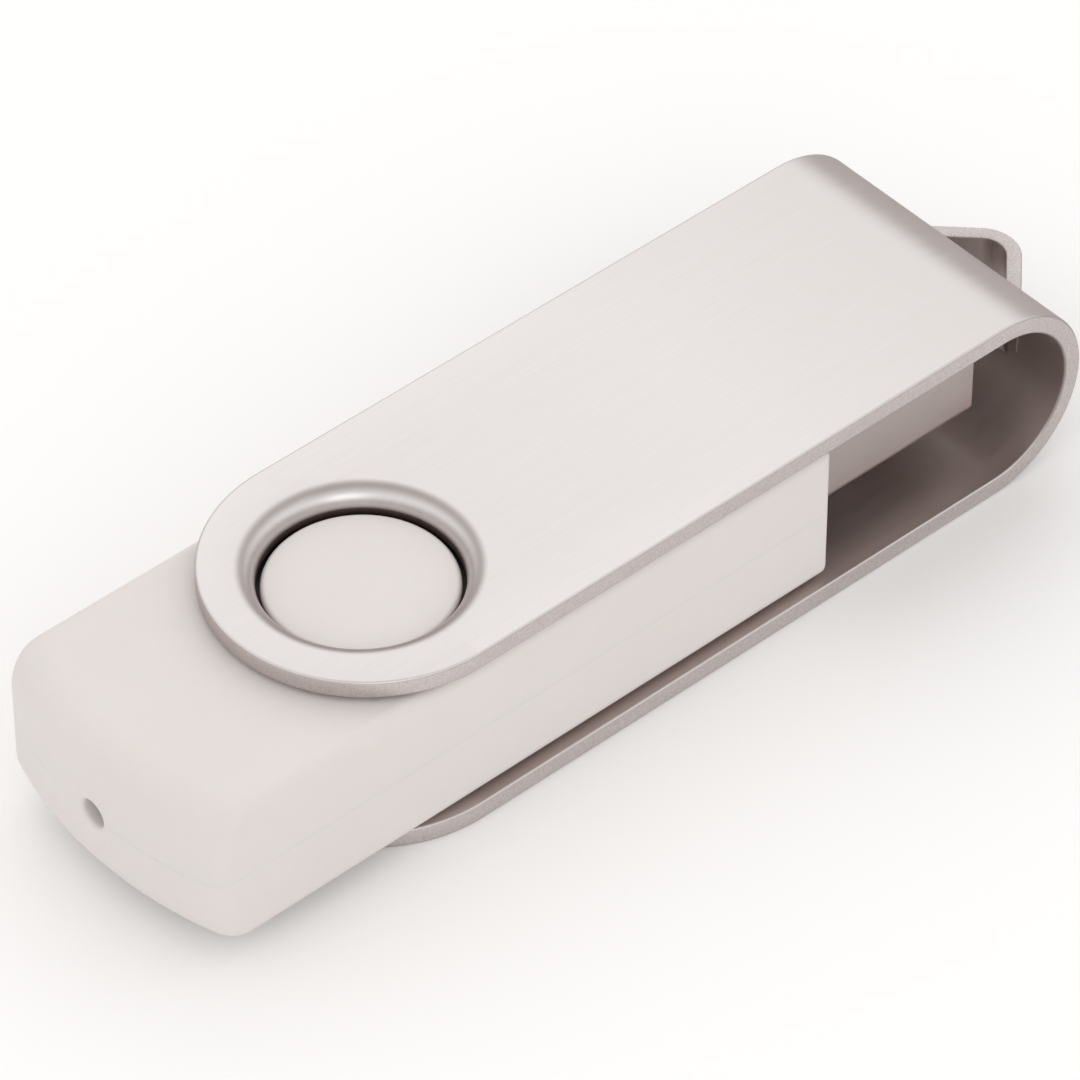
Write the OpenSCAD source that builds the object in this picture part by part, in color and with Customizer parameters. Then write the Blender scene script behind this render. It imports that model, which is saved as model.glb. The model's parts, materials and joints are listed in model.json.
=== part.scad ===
// Pocket memory stick with a swivelling metal clip. Millimetres, +Z up, +X towards the plug and the bend.
// The origin is the middle of the base: under the closed stick, halfway along its length.
// Places along X inside the modules are counted from the pivot axis.

/* [Clip] */
// Width of the clip's strip
clip_w = 17.5; // [16.5:0.5:22]
// Overall height of the folded clip
clip_h = 11.8; // [11:0.1:14.5]
// Thickness of the strip
strip_t = 1.1; // [0.8:0.05:1.4]
// Distance from the pivot to the centre of the arms' round ends
end_offset = 0.5; // [0:0.1:1]
// Radius of the pivot hole in each arm
hole_r = 5.35; // [4.2:0.05:6.5]
// Wall of the drawn rim around each pivot hole
rim_t = 0.8; // [0.6:0.05:0.9]
// How far the drawn rim reaches past the arm's inner face
rim_drop = 0.5; // [0.4:0.05:0.6]

/* [Keyring loop] */
// Width of the strip that is pushed out of the bend
loop_w = 2.6; // [2:0.1:3.5]
// Thickness of the stretched strip
loop_t = 0.85; // [0.5:0.05:0.9]
// How far the loop's nose stands proud of the bend
loop_proud = 3.3; // [2.8:0.1:4]
// Outer radius of the loop's nose
loop_nose_r = 2.2; // [1.8:0.1:2.6]

/* [Case] */
// Step from the clip's edge in to the side of the case
side_step = 0.4; // [0.2:0.1:0.6]
// Running clearance between the case and each arm
arm_gap = 0.25; // [0.15:0.05:0.3]
// Pivot to the tail of the case
tail_reach = 17.7; // [16.5:0.1:21]
// Pivot to the face that the plug leaves
nose_reach = 24.8; // [24:0.1:31]
// Radius of the bowed tail, seen from above
tail_r = 25; // [18:0.5:30]
// Radius of the upright corners at the tail
tail_corner_r = 1.2; // [1:0.1:2]
// Radius of the upright corners at the nose
nose_corner_r = 0.4; // [0.3:0.1:1.2]
// Rounding of the long edges of the top and underside
edge_r = 0.8; // [0.4:0.1:1]
// Rounding of the tail into the top and underside
tail_edge_r = 2.2; // [1.4:0.1:2.6]
// Wall of the case
wall = 1.1; // [1:0.05:1.3]
// Radial clearance between the boss and the pivot hole
boss_gap = 0.35; // [0.3:0.05:0.5]
// Clearance around the drawn rim in the groove of the case
groove_gap = 0.3; // [0.3:0.05:0.35]
// Rounding of the boss's rim
boss_edge_r = 0.3; // [0.1:0.05:0.4]
// Diameter of the hole for the indicator light
light_d = 1.6; // [1:0.1:2]
// Thickness of the locating lip inside the parting line
lip_t = 0.4; // [0.3:0.05:0.5]
// Height of the lip above and below the parting line
lip_rise = 1; // [0.6:0.1:1.4]
// Clearance between the lip and the upper case
lip_gap = 0.05; // [0.02:0.01:0.1]

/* [Plug] */
// Width of the plug's shell, the standard 12 mm
plug_w = 12; // [12:0.1:12.1]
// Height of the plug's shell, the standard 4.5 mm
plug_h = 4.5; // [4.4:0.1:4.6]
// Thickness of the shell's sheet
plug_t = 0.3; // [0.25:0.05:0.35]
// Outer radius of the shell's bends
plug_bend_r = 0.6; // [0.5:0.1:0.8]
// How far the plug stands out of the case
plug_proud = 12.6; // [11.8:0.1:13]
// How far the shell reaches into the case
plug_root = 6; // [5.5:0.1:7]
// Clearance around the plug in the opening of the case
plug_fit = 0.1; // [0.05:0.05:0.15]
// Free space between the plug's mouth and the inside of the bend
bend_clear = 4.1; // [3:0.1:6]
// Thickness of the plastic tongue
tongue_h = 1.9; // [1.8:0.05:1.95]
// How far the tongue's end lies inside the mouth
tongue_inset = 0.9; // [0.5:0.1:1.2]
// Depth of the space that takes the socket's tongue
mouth_depth = 11.7; // [11:0.1:12]
// Length and width of the latch windows in the shell
window_l = 2; // [1.8:0.1:2.4]
window_w = 2.5; // [2.2:0.1:2.8]
// Mouth to the middle of the windows
window_back = 6.2; // [5.8:0.1:6.6]
// Distance between the middles of the two windows
window_pitch = 5; // [4.8:0.1:5.4]

/* [Board] */
// Thickness of the circuit board
board_t = 1; // [0.8:0.1:1.1]
// Clearance between the board and the lip
board_gap = 0.1; // [0.05:0.05:0.2]
// Length of the board's tongue inside the plug's shell
board_tongue = 3.1; // [2.6:0.1:3.4]
// Thickness of the copper pads
pad_t = 0.05; // [0.03:0.01:0.07]
// Thickness of the contacts
contact_t = 0.3; // [0.25:0.05:0.3]
// Width of the contacts
contact_w = 1; // [0.9:0.1:1.2]

/* [Hidden] */

fine = 96;
cut = 0.5;
mid_z = clip_h / 2;

// Clip
plug_end = nose_reach + plug_proud;
clip_reach = plug_end + bend_clear + strip_t;
bend_x = clip_reach - mid_z;
loop_reach = clip_reach + loop_proud;
pivot_x = (tail_reach - loop_reach) / 2;

// Case
body_w = clip_w - 2 * side_step;
case_z0 = strip_t + arm_gap;
case_z1 = clip_h - case_z0;
case_h = case_z1 - case_z0;
boss_r = hole_r - boss_gap;
groove_r = hole_r + rim_t + groove_gap;
groove_depth = rim_drop - arm_gap + groove_gap;
lip_inset = wall + lip_gap;
board_inset = lip_inset + lip_t + board_gap;
least_corner_r = 0.3;
least_nose_corner_r = 0.2;

// Plug
plug_root_x = nose_reach - plug_root;
tongue_z0 = mid_z - plug_h / 2 + plug_t;
tongue_z1 = tongue_z0 + tongue_h;
contact_proud = 0.05;
contact_z1 = tongue_z1 + contact_proud;
contact_z0 = contact_z1 - contact_t;
power_y = 3.5;
data_y = 1;
leg_l = 2;
leg_h = 2;
leg_slot_gap = 0.1;

// Standard packages
flash_size = [18.4, 12, 1];
flash_x = 5.3;
flash_pins = 24;
flash_pin_reach = 0.8;
controller_size = [7, 7, 1.4];
controller_x = 5;
controller_pins = 12;
controller_pin_reach = 0.9;
pin_pitch = 0.5;
pin_w = 0.2;
pin_t = 0.13;
standoff = 0.1;
crystal_size = [3.2, 5, 0.9];
crystal_x = -8.5;
crystal_lid_t = 0.3;
crystal_lid_margin = 0.25;
regulator_size = [1.6, 2.9, 1];
regulator_x = -6;
regulator_pin_y = 0.95;
regulator_pin_reach = 0.7;
chip_part = [1, 0.5, 0.5];
terminal_l = 0.25;
led_size = [0.8, 1.6, 0.8];
led_base_h = 0.3;
led_end_l = 0.25;

// Board: its top carries the memory chip, its underside the controller
shoulder_gap = 0.2;
block_gap = 0.1;
tongue_side_gap = 0.1;
board_z1 = contact_z0 - pad_t;
board_z0 = board_z1 - board_t;
board_shoulder_x = plug_root_x - shoulder_gap;
board_front_x = plug_root_x + board_tongue;
board_tail_x = board_inset - tail_reach;
block_x0 = board_front_x + block_gap;
block_x1 = plug_end - mouth_depth;
led_x = board_tail_x + 1;

// Contacts, their pads and the solder
contact_start = 0.6;
power_front = 0.6;
data_front = 1.6;
contact_x0 = board_shoulder_x + contact_start;
pad_tail = 0.5;
pad_front = 0.2;
pad_side = 0.1;
solder_l = 0.4;
solder_rise = 0.8 * contact_t;
leg_solder_w = 0.6;
leg_solder_tail = 0.3;
leg_solder_front = 0.5;

// Ledges: their width leaves a gap to the memory chip
chip_gap = 0.2;
ledge_l = 3;
ledge_w = body_w / 2 - board_inset - flash_size[1] / 2 - chip_gap;
ledge_nose_gap = 6;
ledge_tail_gap = 8;

// Rows of small parts, counted from the part they serve or from the board's tail
crystal_capacitor_y = [-4.5, -3.5, 3.5, 4.5];
controller_capacitor_x = 6.5;
controller_capacitor_y = [-3, 0, 3];
led_resistor_x = 0.6;
led_resistor_y = [-2.6, 2.6];
tail_resistor_x = 4;
tail_resistor_y = [-4, -2, 0, 2, 4];

// Colours
plastic_color = [0.88, 0.86, 0.85];
resin_color = [0.15, 0.15, 0.16];

// Moves a piece from places counted from the pivot to the part's own frame
module at_pivot() {
    translate([pivot_x, 0, 0])
        children();
}

// Copies a piece to both sides of the middle plane z = mid_z
module above_and_below() {
    children();
    translate([0, 0, clip_h])
        mirror([0, 0, 1])
            children();
}

// Copies a piece to both sides of the middle plane y = 0
module both_sides() {
    children();
    mirror([0, 1, 0])
        children();
}

// A block by its ranges along X and Z, centred on y = 0
module block(x0, x1, width, z0, z1) {
    translate([x0, -width / 2, z0])
        cube([x1 - x0, width, z1 - z0]);
}

// A flat rectangle with four round corners, centred on the origin
module round_rect(w, h, r) {
    square([w - 2 * r, h], center = true);
    square([w, h - 2 * r], center = true);
    for (sx = [-1, 1], sy = [-1, 1])
        translate([sx * (w / 2 - r), sy * (h / 2 - r)])
            circle(r = r, $fn = fine);
}

// A length of a rounded rectangular bar along X, centred on z = mid_z
module bar_x(x0, x1, w, h, r) {
    translate([x0, 0, mid_z])
        rotate([90, 0, 90])
            linear_extrude(height = x1 - x0)
                round_rect(w, h, r);
}

// ---- Clip ----

// Side outline of the folded strip, shrunk by inset: two arms and the half-round bend
module fold_outline(inset, tail_x) {
    translate([tail_x, inset])
        square([bend_x - tail_x, clip_h - 2 * inset]);
    translate([bend_x, mid_z])
        circle(r = mid_z - inset, $fn = fine);
}

// Outline of the clip seen from above: a round end and straight sides
module clip_plan() {
    translate([end_offset, 0])
        circle(r = clip_w / 2, $fn = 2 * fine);
    translate([end_offset, -clip_w / 2])
        square([clip_reach - end_offset + cut, clip_w]);
}

module folded_strip() {
    tail_x = end_offset - clip_w / 2 - cut;
    intersection() {
        translate([0, clip_w / 2 + cut, 0])
            rotate([90, 0, 0])
                linear_extrude(height = clip_w + 2 * cut)
                    difference() {
                        fold_outline(0, tail_x);
                        fold_outline(strip_t, tail_x - cut);
                    }
        translate([0, 0, -cut])
            linear_extrude(height = clip_h + 2 * cut)
                clip_plan();
    }
}

// The drawn rim of the lower arm's hole: the outer face rolls in over the strip's thickness
module drawn_rim() {
    rotate_extrude($fn = fine) {
        intersection() {
            translate([hole_r + strip_t, strip_t])
                circle(r = strip_t, $fn = fine);
            translate([hole_r, 0])
                square([strip_t, strip_t]);
        }
        translate([hole_r, strip_t])
            square([rim_t, rim_drop]);
    }
}

// Plan of the keyring loop, shrunk by inset: a round nose and two legs that spread at 45 degrees
module loop_plan(inset, root_x) {
    nose_x = loop_reach - loop_nose_r;
    r = loop_nose_r - inset;
    reach = nose_x - root_x;
    side = r * cos(45);
    spread = r / cos(45);
    translate([nose_x, 0])
        circle(r = r, $fn = fine);
    polygon([
        [nose_x + side, side],
        [root_x, spread + reach],
        [root_x, -spread - reach],
        [nose_x + side, -side]
    ]);
}

module loop_slice(inset, root_x) {
    translate([0, 0, mid_z - loop_w / 2])
        linear_extrude(height = loop_w)
            loop_plan(inset, root_x);
}

module swivel_clip() {
    color("silver")
        at_pivot() {
            wall_x = clip_reach - strip_t;
            difference() {
                union() {
                    folded_strip();
                    loop_slice(0, wall_x + strip_t / 2);
                }
                loop_slice(loop_t, wall_x - strip_t);
                translate([0, 0, -cut])
                    cylinder(r = hole_r + strip_t, h = clip_h + 2 * cut, $fn = fine);
            }
            above_and_below()
                drawn_rim();
        }
}

// ---- Case ----

// Outline of the case seen from above, shrunk by inset: bowed tail, round corners
module case_plan(inset) {
    half = body_w / 2 - inset;
    big_r = tail_r - inset;
    tail_c = tail_r - tail_reach;
    corner = max(tail_corner_r - inset, least_corner_r);
    nose_c = max(nose_corner_r - inset, least_nose_corner_r);
    corner_y = half - corner;
    corner_x = tail_c - sqrt(pow(big_r - corner, 2) - pow(corner_y, 2));
    nose_x = nose_reach - inset;
    // Tail: the part of the big circle between the two corners
    intersection() {
        translate([tail_c, 0])
            circle(r = big_r, $fn = 3 * fine);
        polygon([
            [tail_c, 0],
            [tail_c + 2 * (corner_x - tail_c), 2 * corner_y],
            [tail_c + 2 * (corner_x - tail_c), -2 * corner_y]
        ]);
    }
    for (s = [-1, 1]) {
        translate([corner_x, s * corner_y])
            circle(r = corner, $fn = fine);
        translate([nose_x - nose_c, s * (half - nose_c)])
            circle(r = nose_c, $fn = fine);
    }
    translate([corner_x, -half])
        square([nose_x - nose_c - corner_x, 2 * half]);
    translate([corner_x, nose_c - half])
        square([nose_x - corner_x, 2 * (half - nose_c)]);
    polygon([
        [tail_c, 0],
        [corner_x, corner_y],
        [corner_x, -corner_y]
    ]);
}

// The closed outside of the case, with rounded long edges and a rounded tail edge
module case_solid() {
    tail_c = tail_r - tail_reach;
    corner_end_y = (body_w / 2 - tail_corner_r) * tail_r / (tail_r - tail_corner_r);
    intersection() {
        translate([0, 0, case_z0])
            linear_extrude(height = case_h) {
                case_plan(0);
                // Stands past the bow between the two corners, so that the rounded disc below shapes it
                translate([-tail_reach - cut, -corner_end_y])
                    square([tail_reach, 2 * corner_end_y]);
            }
        bar_x(-tail_reach - cut, nose_reach + cut, body_w, case_h, edge_r);
        translate([tail_c, 0, mid_z])
            rotate_extrude($fn = 3 * fine) {
                translate([0, -case_h / 2])
                    square([tail_r - tail_edge_r, case_h]);
                translate([0, tail_edge_r - case_h / 2])
                    square([tail_r, case_h - 2 * tail_edge_r]);
                for (s = [-1, 1])
                    translate([tail_r - tail_edge_r, s * (case_h / 2 - tail_edge_r)])
                        circle(r = tail_edge_r, $fn = fine);
            }
    }
}

// The openings at the two ends of the case: the plug's, with room for its legs, and the light's
module end_openings() {
    bar_x(plug_root_x - leg_l - plug_fit, nose_reach + cut,
        plug_w + 2 * plug_fit, plug_h + 2 * plug_fit, plug_bend_r);
    translate([-tail_reach - cut, 0, mid_z])
        rotate([0, 90, 0])
            cylinder(d = light_d, h = wall + board_inset, $fn = fine / 2);
}

// Everything that is cut out of the closed case: cavity, end openings and rim grooves
module case_cuts() {
    translate([0, 0, case_z0 + wall])
        linear_extrude(height = case_h - 2 * wall)
            case_plan(wall);
    end_openings();
    above_and_below()
        difference() {
            translate([0, 0, case_z0 - cut])
                cylinder(r = groove_r, h = groove_depth + cut, $fn = fine);
            translate([0, 0, case_z0 - 2 * cut])
                cylinder(r = boss_r, h = groove_depth + 3 * cut, $fn = fine);
        }
}

// The lower boss: a disc that stands up to the arm's inner face, with a rounded rim
module boss() {
    translate([0, 0, strip_t])
        rotate_extrude($fn = fine) {
            translate([0, boss_edge_r])
                square([boss_r, case_z0 + wall / 2 - strip_t - boss_edge_r]);
            square([boss_r - boss_edge_r, boss_edge_r]);
            translate([boss_r - boss_edge_r, boss_edge_r])
                circle(r = boss_edge_r, $fn = fine);
        }
}

// Places the four ledges of a case half, two along each side
module at_ledges() {
    for (x = [plug_root_x - ledge_nose_gap, board_tail_x + ledge_tail_gap])
        both_sides()
            translate([x, body_w / 2 - board_inset - ledge_w, 0])
                children();
}

// Ledges that grow from the wall and carry the edges of the board
module lower_ledges() {
    z0 = case_z0 + wall / 2;
    at_ledges()
        translate([0, 0, z0])
            cube([ledge_l, board_inset + ledge_w - wall / 2, board_z0 - z0]);
}

// Ledges that hang inside the lip and hold the board down
module upper_ledges() {
    at_ledges()
        translate([0, 0, board_z1])
            cube([ledge_l, ledge_w, case_z1 - wall / 2 - board_z1]);
}

module lower_case() {
    color(plastic_color)
        at_pivot() {
            difference() {
                intersection() {
                    case_solid();
                    block(-tail_reach - cut, nose_reach + cut, body_w + cut, 0, mid_z);
                }
                case_cuts();
            }
            boss();
            lip();
            lower_ledges();
        }
}

// A band of wall between two insets of the case's outline
module wall_band(outer_inset, inner_inset, z0, z1) {
    translate([0, 0, z0])
        linear_extrude(height = z1 - z0)
            difference() {
                case_plan(outer_inset);
                case_plan(inner_inset);
            }
}

// The locating lip: it grows from the lower wall and stands up inside the upper case
module lip() {
    difference() {
        union() {
            wall_band(lip_inset, lip_inset + lip_t, mid_z - lip_rise, mid_z + lip_rise);
            wall_band(wall / 2, lip_inset + lip_t / 2, mid_z - lip_rise, mid_z);
        }
        end_openings();
    }
}

module upper_case() {
    color(plastic_color)
        at_pivot() {
            difference() {
                intersection() {
                    case_solid();
                    block(-tail_reach - cut, nose_reach + cut, body_w + cut, mid_z, clip_h);
                }
                case_cuts();
            }
            translate([0, 0, clip_h])
                mirror([0, 0, 1])
                    boss();
            upper_ledges();
        }
}

// ---- Plug ----

module plug_shell() {
    color("gainsboro")
        at_pivot() {
            difference() {
                bar_x(plug_root_x, plug_end, plug_w, plug_h, plug_bend_r);
                bar_x(plug_root_x - cut, plug_end + cut, plug_w - 2 * plug_t,
                    plug_h - 2 * plug_t, plug_bend_r - plug_t);
                for (s = [-1, 1])
                    translate([plug_end - window_back, s * window_pitch / 2, mid_z])
                        cube([window_l, window_w, plug_h + cut], center = true);
            }
            both_sides()
                translate([plug_root_x - leg_l, plug_w / 2 - plug_t, mid_z - leg_h / 2 - plug_t])
                    cube([leg_l + plug_t, plug_t, leg_h]);
        }
}

// The four contacts' solid shape: power contacts reach further forward than data contacts
module contact_strip(y, front_x) {
    translate([contact_x0, y - contact_w / 2, contact_z0])
        cube([front_x - contact_x0, contact_w, contact_t]);
}

module power_contact_set() {
    for (s = [-1, 1])
        contact_strip(s * power_y, plug_end - tongue_inset - power_front);
}

module data_contact_set() {
    for (s = [-1, 1])
        contact_strip(s * data_y, plug_end - tongue_inset - data_front);
}

module plug_insulator() {
    color("white")
        at_pivot() {
            difference() {
                union() {
                    intersection() {
                        bar_x(block_x0, plug_end - tongue_inset, plug_w - 2 * plug_t,
                            plug_h - 2 * plug_t, plug_bend_r - plug_t);
                        block(block_x0, plug_end, plug_w, tongue_z0, tongue_z1);
                    }
                    bar_x(block_x0, block_x1, plug_w - 2 * plug_t,
                        plug_h - 2 * plug_t, plug_bend_r - plug_t);
                }
                power_contact_set();
                data_contact_set();
            }
        }
}

module power_contacts() {
    color("gold")
        at_pivot()
            power_contact_set();
}

module data_contacts() {
    color("gold")
        at_pivot()
            data_contact_set();
}

// ---- Board ----

module circuit_board() {
    tongue_w = plug_w - 2 * plug_t - 2 * tongue_side_gap;
    color("darkgreen")
        at_pivot()
            translate([0, 0, board_z0])
                linear_extrude(height = board_t)
                    difference() {
                        union() {
                            intersection() {
                                case_plan(board_inset);
                                translate([-tail_reach, -body_w / 2])
                                    square([tail_reach + board_shoulder_x, body_w]);
                            }
                            translate([board_shoulder_x - cut, -tongue_w / 2])
                                square([board_front_x - board_shoulder_x + cut, tongue_w]);
                        }
                        both_sides()
                            translate([plug_root_x - leg_l - leg_slot_gap,
                                plug_w / 2 - plug_t - leg_slot_gap])
                                square([leg_l + cut, plug_t + 2 * leg_slot_gap]);
                    }
}

module board_pads() {
    pad_w = contact_w + 2 * pad_side;
    pad_x0 = contact_x0 - pad_tail;
    color("goldenrod")
        at_pivot()
            for (y = [-power_y, -data_y, data_y, power_y])
                translate([pad_x0, y - pad_w / 2, board_z1])
                    cube([board_front_x - pad_front - pad_x0, pad_w, pad_t]);
}

// A solder wedge that runs up from the pad against the end of each contact
module contact_solder() {
    color("lightgray")
        at_pivot()
            for (y = [-power_y, -data_y, data_y, power_y])
                translate([contact_x0, y + contact_w / 2, board_z1 + pad_t])
                    rotate([90, 0, 0])
                        linear_extrude(height = contact_w)
                            polygon([[-solder_l, 0], [0, 0], [0, solder_rise]]);
}

// Solder wedges between the plug's legs and the top and underside of the board
module leg_solder() {
    inner_y = plug_w / 2 - plug_t;
    color("lightgray")
        at_pivot()
            both_sides()
                translate([plug_root_x - leg_l + leg_solder_tail, inner_y, board_z1])
                    rotate([90, 0, 90])
                        linear_extrude(height = leg_l - leg_solder_tail - leg_solder_front)
                            polygon([[0, 0], [-leg_solder_w, 0], [0, leg_solder_w]]);
}

// One bent lead: its foot stands on z = 0 and it enters the package at x = 0 and z = height
module gull_lead(height, reach) {
    knee = 0.2;
    foot = 0.35;
    translate([0, pin_w / 2, 0])
        rotate([90, 0, 0])
            linear_extrude(height = pin_w)
                polygon([
                    [0, height],
                    [knee - pin_t / 2, height],
                    [reach - foot - pin_t / 2, 0],
                    [reach, 0],
                    [reach, pin_t],
                    [reach - foot + pin_t / 2, pin_t],
                    [knee + pin_t / 2, height + pin_t],
                    [0, height + pin_t]
                ]);
}

// A row of leads along Y, leaving a package face at x
module lead_row(x, count, height, reach) {
    for (i = [0 : count - 1])
        translate([x, (i - (count - 1) / 2) * pin_pitch, 0])
            gull_lead(height, reach);
}

// Puts a top-side piece on the board's top, or mirrors it under the board
module on_top(x, y = 0) {
    at_pivot()
        translate([x, y, board_z1])
            children();
}

module underneath(x, y = 0) {
    at_pivot()
        translate([x, y, board_z0])
            mirror([0, 0, 1])
                children();
}

// A moulded package with bevelled sides that stands off the board
module package(size) {
    bevel = 0.1;
    half_h = size[2] / 2;
    intersection() {
        translate([0, size[1] / 2, standoff])
            rotate([90, 0, 0])
                linear_extrude(height = size[1])
                    polygon([
                        [bevel - size[0] / 2, 0],
                        [-size[0] / 2, half_h],
                        [bevel - size[0] / 2, size[2]],
                        [size[0] / 2 - bevel, size[2]],
                        [size[0] / 2, half_h],
                        [size[0] / 2 - bevel, 0]
                    ]);
        translate([-size[0] / 2, 0, standoff])
            rotate([90, 0, 90])
                linear_extrude(height = size[0])
                    polygon([
                        [bevel - size[1] / 2, 0],
                        [-size[1] / 2, half_h],
                        [bevel - size[1] / 2, size[2]],
                        [size[1] / 2 - bevel, size[2]],
                        [size[1] / 2, half_h],
                        [size[1] / 2 - bevel, 0]
                    ]);
    }
}

module flash_chip() {
    color(resin_color)
        on_top(flash_x)
            package(flash_size);
}

module flash_leads() {
    color("silver")
        on_top(flash_x)
            for (turn = [0, 180])
                rotate([0, 0, turn])
                    lead_row(flash_size[0] / 2, flash_pins,
                        standoff + flash_size[2] / 2 - pin_t / 2, flash_pin_reach);
}

module controller_chip() {
    color(resin_color)
        underneath(controller_x)
            package(controller_size);
}

module controller_leads() {
    color("silver")
        underneath(controller_x)
            for (turn = [0, 90, 180, 270])
                rotate([0, 0, turn])
                    lead_row(controller_size[0] / 2, controller_pins,
                        standoff + controller_size[2] / 2 - pin_t / 2, controller_pin_reach);
}

module crystal_base() {
    color([0.35, 0.3, 0.27])
        on_top(crystal_x)
            block(-crystal_size[0] / 2, crystal_size[0] / 2, crystal_size[1], 0, crystal_size[2]);
}

module crystal_lid() {
    color("silver")
        on_top(crystal_x)
            block(crystal_lid_margin - crystal_size[0] / 2, crystal_size[0] / 2 - crystal_lid_margin,
                crystal_size[1] - 2 * crystal_lid_margin, crystal_size[2],
                crystal_size[2] + crystal_lid_t);
}

module regulator_body() {
    color(resin_color)
        underneath(regulator_x)
            package(regulator_size);
}

// Two leads on one side and one on the other
module regulator_leads() {
    lead_h = standoff + regulator_size[2] / 2 - pin_t / 2;
    color("silver")
        underneath(regulator_x) {
            for (s = [-1, 1])
                translate([regulator_size[0] / 2, s * regulator_pin_y, 0])
                    gull_lead(lead_h, regulator_pin_reach);
            rotate([0, 0, 180])
                translate([regulator_size[0] / 2, 0, 0])
                    gull_lead(lead_h, regulator_pin_reach);
        }
}

// Middle of a two-ended chip part, between its terminals
module chip_body() {
    block(terminal_l - chip_part[0] / 2, chip_part[0] / 2 - terminal_l, chip_part[1], 0, chip_part[2]);
}

module chip_terminals() {
    for (s = [-1, 1])
        translate([s * (chip_part[0] - terminal_l) / 2, 0, 0])
            block(-terminal_l / 2, terminal_l / 2, chip_part[1], 0, chip_part[2]);
}

// Capacitors: a row beside the crystal on top, and pairs ahead of and behind the controller below
module at_capacitors() {
    for (y = crystal_capacitor_y)
        on_top(crystal_x, y)
            children();
    for (s = [-1, 1], y = controller_capacitor_y)
        underneath(controller_x + s * controller_capacitor_x, y)
            children();
}

// Resistors: two beside the light on top, and a row near the tail below
module at_resistors() {
    for (y = led_resistor_y)
        on_top(led_x + led_resistor_x, y)
            children();
    for (y = tail_resistor_y)
        underneath(board_tail_x + tail_resistor_x, y)
            children();
}

module capacitor_bodies() {
    color([0.62, 0.5, 0.36])
        at_capacitors()
            chip_body();
}

module capacitor_terminals() {
    color("silver")
        at_capacitors()
            chip_terminals();
}

module resistor_bodies() {
    color([0.1, 0.1, 0.1])
        at_resistors()
            chip_body();
}

module resistor_terminals() {
    color("silver")
        at_resistors()
            chip_terminals();
}

// ---- Indicator light, at the tail edge of the board behind the light hole ----

module led_base() {
    color("ivory")
        on_top(led_x)
            block(-led_size[0] / 2, led_size[0] / 2, led_size[1] - 2 * led_end_l, 0, led_base_h);
}

module led_lens() {
    color([0.75, 0.85, 1])
        on_top(led_x)
            block(-led_size[0] / 2, led_size[0] / 2, led_size[1] - 2 * led_end_l, led_base_h, led_size[2]);
}

module led_terminals() {
    color("silver")
        on_top(led_x)
            both_sides()
                translate([-led_size[0] / 2, led_size[1] / 2 - led_end_l, 0])
                    cube([led_size[0], led_end_l, led_base_h]);
}

swivel_clip();
upper_case();
lower_case();
plug_shell();
plug_insulator();
power_contacts();
data_contacts();
circuit_board();
board_pads();
contact_solder();
leg_solder();
flash_chip();
flash_leads();
controller_chip();
controller_leads();
crystal_base();
crystal_lid();
regulator_body();
regulator_leads();
capacitor_bodies();
capacitor_terminals();
resistor_bodies();
resistor_terminals();
led_base();
led_lens();
led_terminals();
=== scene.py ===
import json
import math

import bmesh
import bpy
from mathutils import Matrix, Vector


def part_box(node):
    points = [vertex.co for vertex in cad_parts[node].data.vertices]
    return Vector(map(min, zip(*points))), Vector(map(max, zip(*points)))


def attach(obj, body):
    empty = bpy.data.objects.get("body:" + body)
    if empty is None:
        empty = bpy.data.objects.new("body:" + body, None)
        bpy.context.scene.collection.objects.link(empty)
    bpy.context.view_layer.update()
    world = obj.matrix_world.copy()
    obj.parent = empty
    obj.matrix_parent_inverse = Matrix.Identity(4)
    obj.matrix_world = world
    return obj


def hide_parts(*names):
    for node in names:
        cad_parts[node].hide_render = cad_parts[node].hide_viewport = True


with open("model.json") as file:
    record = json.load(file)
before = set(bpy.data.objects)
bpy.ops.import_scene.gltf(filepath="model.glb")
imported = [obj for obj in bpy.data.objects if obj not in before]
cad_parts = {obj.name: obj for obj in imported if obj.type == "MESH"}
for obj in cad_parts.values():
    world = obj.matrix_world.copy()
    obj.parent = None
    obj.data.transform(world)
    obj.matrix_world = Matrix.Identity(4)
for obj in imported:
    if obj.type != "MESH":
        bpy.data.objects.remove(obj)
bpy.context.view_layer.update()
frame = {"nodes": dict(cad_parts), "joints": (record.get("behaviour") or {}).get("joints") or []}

# Sizes are in millimetres, and pieces turn into metres as they are finished.
# The floor, the lights and the scales inside the materials are in metres.
MM = 1000.0


def corners_mm(node):
    """Lowest and highest corners of a CAD node, in millimetres."""
    lo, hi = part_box(node)
    return lo * MM, hi * MM


# ---- Sizes read from the frame ----

PIVOT_X = frame["joints"][0]["pos_m"][0] * MM
CLIP_LO, CLIP_HI = corners_mm("swivel_clip")
CASE_LO, CASE_HI = corners_mm("lower_case")
PLUG_LO, PLUG_HI = corners_mm("plug_shell")
BOARD_LO, BOARD_HI = corners_mm("circuit_board")

# ---- Clip sizes ----

CLIP_W = CLIP_HI.y - CLIP_LO.y
CLIP_H = CLIP_HI.z
MID_Z = CLIP_H / 2
STRIP_T = 1.1
STRIP_EDGE_R = 0.16
HOLE_R = 5.35
RIM_T = 0.8
RIM_DROP = 0.5
RIM_EDGE_R = 0.12
LOOP_W = 2.6
LOOP_T = 0.85
LOOP_PROUD = 3.3
LOOP_NOSE_R = 2.2
LOOP_BEND_R = 1.0
LOOP_EDGE_R = 0.1
LOOP_SLANT = 45
LOOP_ROOT_L = 0.6
LOOP_ROOT_SINK = 0.03
SLIT_GAP = 0.04
CLIP_REACH = CLIP_HI.x - LOOP_PROUD
BEND_X = CLIP_REACH - MID_Z
END_X = CLIP_LO.x + CLIP_W / 2
ROLL_R = HOLE_R + STRIP_T

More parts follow.
